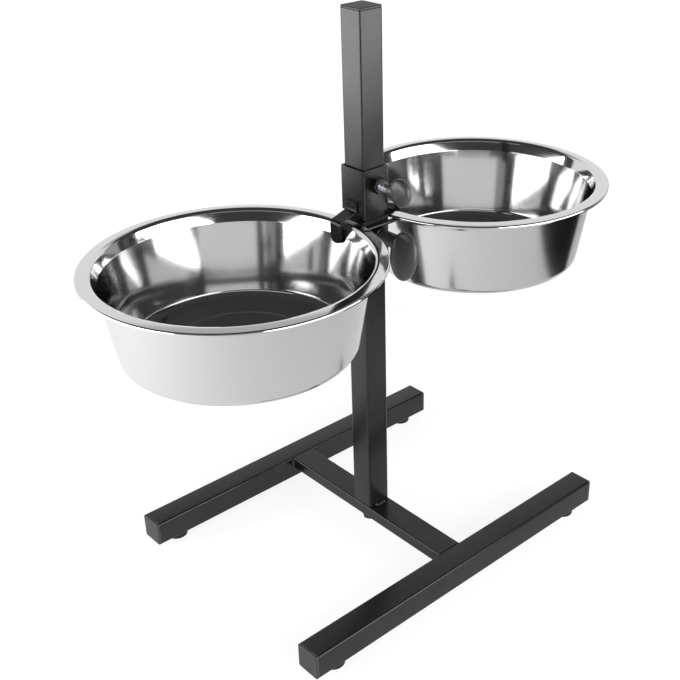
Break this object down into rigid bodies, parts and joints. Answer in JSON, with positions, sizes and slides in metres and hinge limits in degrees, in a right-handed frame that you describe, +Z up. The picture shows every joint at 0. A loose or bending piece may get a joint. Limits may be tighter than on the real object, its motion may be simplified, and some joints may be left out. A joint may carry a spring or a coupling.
{
  "type": "pet bowl stand",
  "caption": "Raised pet feeding stand: square post on an H-shaped base, sliding wire rings holding steel bowls, and a sliding lock whose hooks hold the bowls' rims.",
  "frame": {"origin": "on the floor under the middle of the post", "axes": "+X runs along the rails from the left bowl to the right bowl, -Y is the side of the thumb screws, +Z is up the post"},
  "size_m": [0.5356, 0.271, 0.5195],
  "materials": {
    "powder_coat": "satin black powder coat",
    "zinc_steel": "bright zinc plate",
    "stainless": "polished stainless steel, satin outside",
    "knob_plastic": "moulded black nylon",
    "cap_plastic": "moulded black polyethylene",
    "foot_rubber": "matte black rubber"
  },
  "bodies": {
    "base": {"crossbar": "powder_coat", "crossbar_weld_beads": "powder_coat", "post": "powder_coat", "post_cap": "cap_plastic", "post_plug": "zinc_steel", "post_weld_beads": "powder_coat", "base_bolt": "powder_coat", "base_washer": "powder_coat", "front_rail": "powder_coat", "front_left_cap": "cap_plastic", "front_left_foot": "foot_rubber", "front_right_cap": "cap_plastic", "front_right_foot": "foot_rubber", "back_rail": "powder_coat", "back_left_cap": "cap_plastic", "back_left_foot": "foot_rubber", "back_right_cap": "cap_plastic", "back_right_foot": "foot_rubber"},
    "ring_carriage": {"ring_sleeve": "powder_coat", "ring_nut": "powder_coat", "rod_weld_beads": "powder_coat", "front_ring_rod": "powder_coat", "back_ring_rod": "powder_coat", "left_ring": "powder_coat", "right_ring": "powder_coat"},
    "ring_screw": {"ring_stud": "zinc_steel", "ring_knob": "knob_plastic"},
    "left_bowl": {"left_bowl": "stainless"},
    "right_bowl": {"right_bowl": "stainless"},
    "lock_carriage": {"lock_sleeve": "powder_coat", "lock_nut": "powder_coat", "left_hook": "powder_coat", "right_hook": "powder_coat"},
    "lock_stud": {"lock_stud": "zinc_steel"},
    "lock_knob": {"lock_knob": "knob_plastic"}
  },
  "joints": [
    {"name": "ring_slide", "type": "slide", "parent": "base", "child": "ring_carriage", "axis": [0, 0, 1], "range_m": [-0.22, 0]},
    {"name": "lock_slide", "type": "slide", "parent": "base", "child": "lock_carriage", "axis": [0, 0, 1], "range_m": [0, 0.13]},
    {"name": "left_bowl_lift", "type": "slide", "parent": "ring_carriage", "child": "left_bowl", "axis": [0, 0, 1], "range_m": [0, 0.1105]},
    {"name": "right_bowl_lift", "type": "slide", "parent": "ring_carriage", "child": "right_bowl", "axis": [0, 0, 1], "range_m": [0, 0.1105]},
    {"name": "ring_screw_turn", "type": "hinge", "parent": "ring_carriage", "child": "ring_screw", "pos_m": [0, -0.04, 0.3248], "axis": [0, -1, 0], "range_deg": [0, 90]},
    {"name": "lock_stud_travel", "type": "slide", "parent": "lock_carriage", "child": "lock_stud", "axis": [0, -1, 0], "range_m": [0, 0.004]},
    {"name": "lock_knob_turn", "type": "hinge", "parent": "lock_stud", "child": "lock_knob", "pos_m": [0, -0.04, 0.3708], "axis": [0, -1, 0], "range_deg": [0, 1080]}
  ],
  "couplings": [
    {"joint": "left_bowl_lift", "follows": "lock_slide", "ratio": 0.85},
    {"joint": "right_bowl_lift", "follows": "lock_slide", "ratio": 0.85},
    {"joint": "lock_stud_travel", "follows": "lock_knob_turn", "m_per_rad": 0.00019894}
  ]
}
